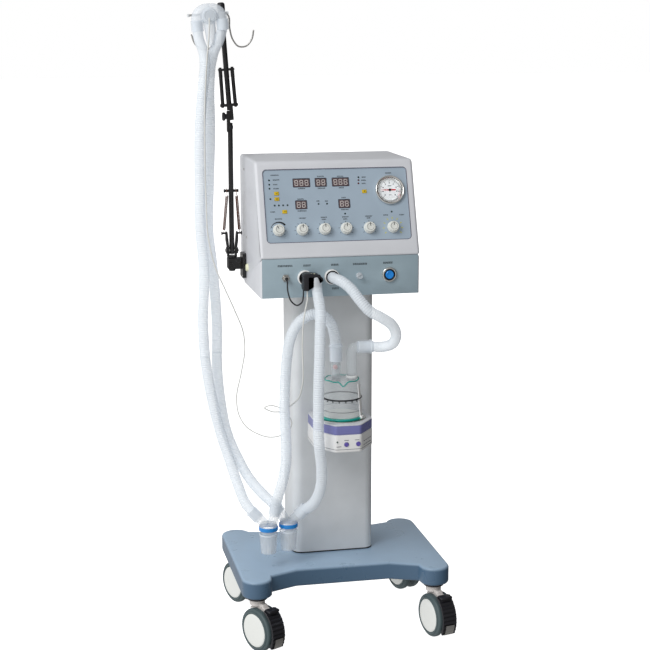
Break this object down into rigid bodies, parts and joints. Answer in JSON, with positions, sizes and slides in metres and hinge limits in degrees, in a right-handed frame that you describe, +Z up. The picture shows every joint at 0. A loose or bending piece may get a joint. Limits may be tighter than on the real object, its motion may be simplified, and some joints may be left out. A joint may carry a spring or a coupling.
{
  "type": "mechanical ventilator",
  "caption": "Ward ventilator on a castored trolley, with a sloping control panel, hose arm with hooks, humidifier, water traps and corrugated breathing hoses.",
  "frame": {"origin": "on the floor, under the middle of the object's box without its cords", "axes": "+Z up, the control panel faces -Y, +X to the right as seen from the front"},
  "size_m": [0.5158, 0.3911, 1.3183],
  "materials": {
    "steel_blue": "satin powder coat",
    "column_grey": "satin powder coat",
    "shell_grey": "fine satin",
    "panel_blue": "printed satin film",
    "front_blue": "satin paint",
    "silver": "bright plated",
    "black_metal": "semi-gloss black",
    "black_plastic": "matt black",
    "tyre_grey": "grey polyurethane",
    "white_plastic": "gloss white",
    "yellow": "satin",
    "blue": "gloss",
    "red": "satin",
    "violet": "satin",
    "circuit_green": "solder mask",
    "clear": "clear polycarbonate",
    "hose": "translucent corrugated"
  },
  "bodies": {
    "trolley": {"base_frame": "steel_blue", "column": "column_grey", "console_cover": "shell_grey", "rear_housing": "shell_grey", "chassis_tray": "silver", "lower_front_panel": "front_blue", "control_panel": "panel_blue", "display_board": "circuit_green", "gas_manifold": "silver", "expiratory_port": "white_plastic", "inspiratory_port": "white_plastic", "sensor_socket": "silver", "flow_sensor": "black_plastic", "gauge_case": "silver", "gauge_lens": "clear", "arm_bracket": "black_metal", "humidifier_base": "white_plastic", "humidifier_chamber": "clear", "trap_head_left": "clear", "trap_head_right": "clear", "hose_expiratory": "hose", "hose_humidifier_inlet": "hose", "hose_humidifier_outlet": "hose", "patient_limb_left": "hose", "patient_limb_right": "hose", "sense_line": "hose", "sensor_cable": "black_plastic"},
    "swivel_front_left": {"caster_fork_front_left": "silver"},
    "wheels_front_left": {"caster_wheels_front_left": "tyre_grey"},
    "brake_front_left": {"brake_pedal_front_left": "black_plastic"},
    "swivel_front_right": {"caster_fork_front_right": "silver"},
    "wheels_front_right": {"caster_wheels_front_right": "tyre_grey"},
    "brake_front_right": {"brake_pedal_front_right": "black_plastic"},
    "swivel_rear_left": {"caster_fork_rear_left": "silver"},
    "wheels_rear_left": {"caster_wheels_rear_left": "tyre_grey"},
    "swivel_rear_right": {"caster_fork_rear_right": "silver"},
    "wheels_rear_right": {"caster_wheels_rear_right": "tyre_grey"},
    "knob_1": {"knob_1": "white_plastic"},
    "knob_2": {"knob_2": "white_plastic"},
    "knob_3": {"knob_3": "white_plastic"},
    "knob_4": {"knob_4": "white_plastic"},
    "knob_5": {"knob_5": "white_plastic"},
    "knob_6": {"knob_6": "white_plastic"},
    "key_1": {"key_1": "yellow"},
    "key_2": {"key_2": "yellow"},
    "key_3": {"key_3": "yellow"},
    "key_4": {"key_4": "yellow"},
    "start_button": {"start_button": "blue"},
    "gauge_needle": {"gauge_needle": "red"},
    "humidifier_key_1": {"humidifier_key_1": "violet"},
    "humidifier_key_2": {"humidifier_key_2": "violet"},
    "trap_cup_left": {"trap_cup_left": "clear"},
    "trap_cup_right": {"trap_cup_right": "clear"},
    "arm_swivel": {"arm_yoke": "black_metal"},
    "lower_arm": {"lower_arm": "black_metal", "lower_springs": "silver"},
    "elbow_knob": {"elbow_knob": "black_plastic"},
    "upper_arm": {"upper_arm": "black_metal"},
    "hook_head": {"hook_head": "black_metal", "y_piece": "clear"}
  },
  "joints": [
    {"name": "arm_swivel", "type": "hinge", "parent": "trolley", "child": "arm_swivel", "pos_m": [-0.1666, 0.1297, 0.773], "axis": [0, 0, 1], "range_deg": [-150, 0]},
    {"name": "arm_tilt", "type": "hinge", "parent": "arm_swivel", "child": "lower_arm", "pos_m": [-0.1666, 0.1297, 0.801], "axis": [1, 0, 0], "range_deg": [0, 60], "deforming": ["lower_springs", "patient_limb_left", "patient_limb_right", "sense_line"]},
    {"name": "elbow_tilt", "type": "hinge", "parent": "lower_arm", "child": "upper_arm", "pos_m": [-0.1666, 0.1297, 1.086], "axis": [1, 0, 0], "range_deg": [-90, 90]},
    {"name": "elbow_knob_turn", "type": "hinge", "parent": "lower_arm", "child": "elbow_knob", "pos_m": [-0.1666, 0.1297, 1.086], "axis": [1, 0, 0], "range_deg": [-180, 180]},
    {"name": "hook_head_turn", "type": "hinge", "parent": "upper_arm", "child": "hook_head", "pos_m": [-0.18205, 0.1297, 1.307], "axis": [-0.0698, 0, 0.9976], "range_deg": [-90, 90]},
    {"name": "swivel_front_left", "type": "hinge", "parent": "trolley", "child": "swivel_front_left", "pos_m": [-0.1611, -0.1223, 0.1135], "axis": [0, 0, 1], "continuous": true},
    {"name": "roll_front_left", "type": "hinge", "parent": "swivel_front_left", "child": "wheels_front_left", "pos_m": [-0.15342, -0.13633, 0.046], "axis": [0.8771, 0.4802, 0], "continuous": true},
    {"name": "brake_front_left", "type": "hinge", "parent": "swivel_front_left", "child": "brake_front_left", "pos_m": [-0.13973, -0.16133, 0.0897], "axis": [0.8771, 0.4802, 0], "range_deg": [-10, 0]},
    {"name": "swivel_front_right", "type": "hinge", "parent": "trolley", "child": "swivel_front_right", "pos_m": [0.2189, -0.1223, 0.1135], "axis": [0, 0, 1], "continuous": true},
    {"name": "roll_front_right", "type": "hinge", "parent": "swivel_front_right", "child": "wheels_front_right", "pos_m": [0.22282, -0.13781, 0.046], "axis": [0.9694, 0.2453, 0], "continuous": true},
    {"name": "brake_front_right", "type": "hinge", "parent": "swivel_front_right", "child": "brake_front_right", "pos_m": [0.22982, -0.16544, 0.0897], "axis": [0.9694, 0.2453, 0], "range_deg": [-10, 0]},
    {"name": "swivel_rear_left", "type": "hinge", "parent": "trolley", "child": "swivel_rear_left", "pos_m": [-0.1611, 0.1617, 0.1135], "axis": [0, 0, 1], "continuous": true},
    {"name": "roll_rear_left", "type": "hinge", "parent": "swivel_rear_left", "child": "wheels_rear_left", "pos_m": [-0.15459, 0.14708, 0.046], "axis": [0.9135, 0.4067, 0], "continuous": true},
    {"name": "swivel_rear_right", "type": "hinge", "parent": "trolley", "child": "swivel_rear_right", "pos_m": [0.2189, 0.1617, 0.1135], "axis": [0, 0, 1], "continuous": true},
    {"name": "roll_rear_right", "type": "hinge", "parent": "swivel_rear_right", "child": "wheels_rear_right", "pos_m": [0.22384, 0.14648, 0.046], "axis": [0.9511, 0.309, 0], "continuous": true},
    {"name": "knob_1_turn", "type": "hinge", "parent": "trolley", "child": "knob_1", "pos_m": [-0.0971, -0.05138, 0.86546], "axis": [0, 0.9397, -0.342], "range_deg": [-135, 135]},
    {"name": "knob_2_turn", "type": "hinge", "parent": "trolley", "child": "knob_2", "pos_m": [-0.0481, -0.05138, 0.86546], "axis": [0, 0.9397, -0.342], "range_deg": [-135, 135]},
    {"name": "knob_3_turn", "type": "hinge", "parent": "trolley", "child": "knob_3", "pos_m": [-0.0011, -0.05138, 0.86546], "axis": [0, 0.9397, -0.342], "range_deg": [-135, 135]},
    {"name": "knob_4_turn", "type": "hinge", "parent": "trolley", "child": "knob_4", "pos_m": [0.0439, -0.05138, 0.86546], "axis": [0, 0.9397, -0.342], "range_deg": [-135, 135]},
    {"name": "knob_5_turn", "type": "hinge", "parent": "trolley", "child": "knob_5", "pos_m": [0.0929, -0.05138, 0.86546], "axis": [0, 0.9397, -0.342], "range_deg": [-135, 135]},
    {"name": "knob_6_turn", "type": "hinge", "parent": "trolley", "child": "knob_6", "pos_m": [0.1429, -0.05138, 0.86546], "axis": [0, 0.9397, -0.342], "range_deg": [-135, 135]},
    {"name": "key_1_press", "type": "slide", "parent": "trolley", "child": "key_1", "axis": [0, 0.9397, -0.342], "range_m": [0, 0.0008], "stiffness_N_per_m": 300},
    {"name": "key_2_press", "type": "slide", "parent": "trolley", "child": "key_2", "axis": [0, 0.9397, -0.342], "range_m": [0, 0.0008], "stiffness_N_per_m": 300},
    {"name": "key_3_press", "type": "slide", "parent": "trolley", "child": "key_3", "axis": [0, 0.9397, -0.342], "range_m": [0, 0.0008], "stiffness_N_per_m": 300},
    {"name": "key_4_press", "type": "slide", "parent": "trolley", "child": "key_4", "axis": [0, 0.9397, -0.342], "range_m": [0, 0.0008], "stiffness_N_per_m": 300},
    {"name": "start_button_press", "type": "slide", "parent": "trolley", "child": "start_button", "axis": [0, 1, 0], "range_m": [0, 0.003], "stiffness_N_per_m": 300},
    {"name": "gauge_needle_turn", "type": "hinge", "parent": "trolley", "child": "gauge_needle", "pos_m": [0.1423, -0.02453, 0.93922], "axis": [0, 0.9397, -0.342], "range_deg": [-30, 210]},
    {"name": "humidifier_key_1_press", "type": "slide", "parent": "trolley", "child": "humidifier_key_1", "axis": [0, 1, 0], "range_m": [0, 0.0012], "stiffness_N_per_m": 300},
    {"name": "humidifier_key_2_press", "type": "slide", "parent": "trolley", "child": "humidifier_key_2", "axis": [0, 1, 0], "range_m": [0, 0.0012], "stiffness_N_per_m": 300},
    {"name": "trap_cup_left_twist", "type": "hinge", "parent": "trolley", "child": "trap_cup_left", "pos_m": [-0.1286, -0.0783, 0.245], "axis": [0, 0, 1], "range_deg": [0, 30]},
    {"name": "trap_cup_right_twist", "type": "hinge", "parent": "trolley", "child": "trap_cup_right", "pos_m": [-0.0836, -0.0643, 0.245], "axis": [0, 0, 1], "range_deg": [0, 30]}
  ]
}
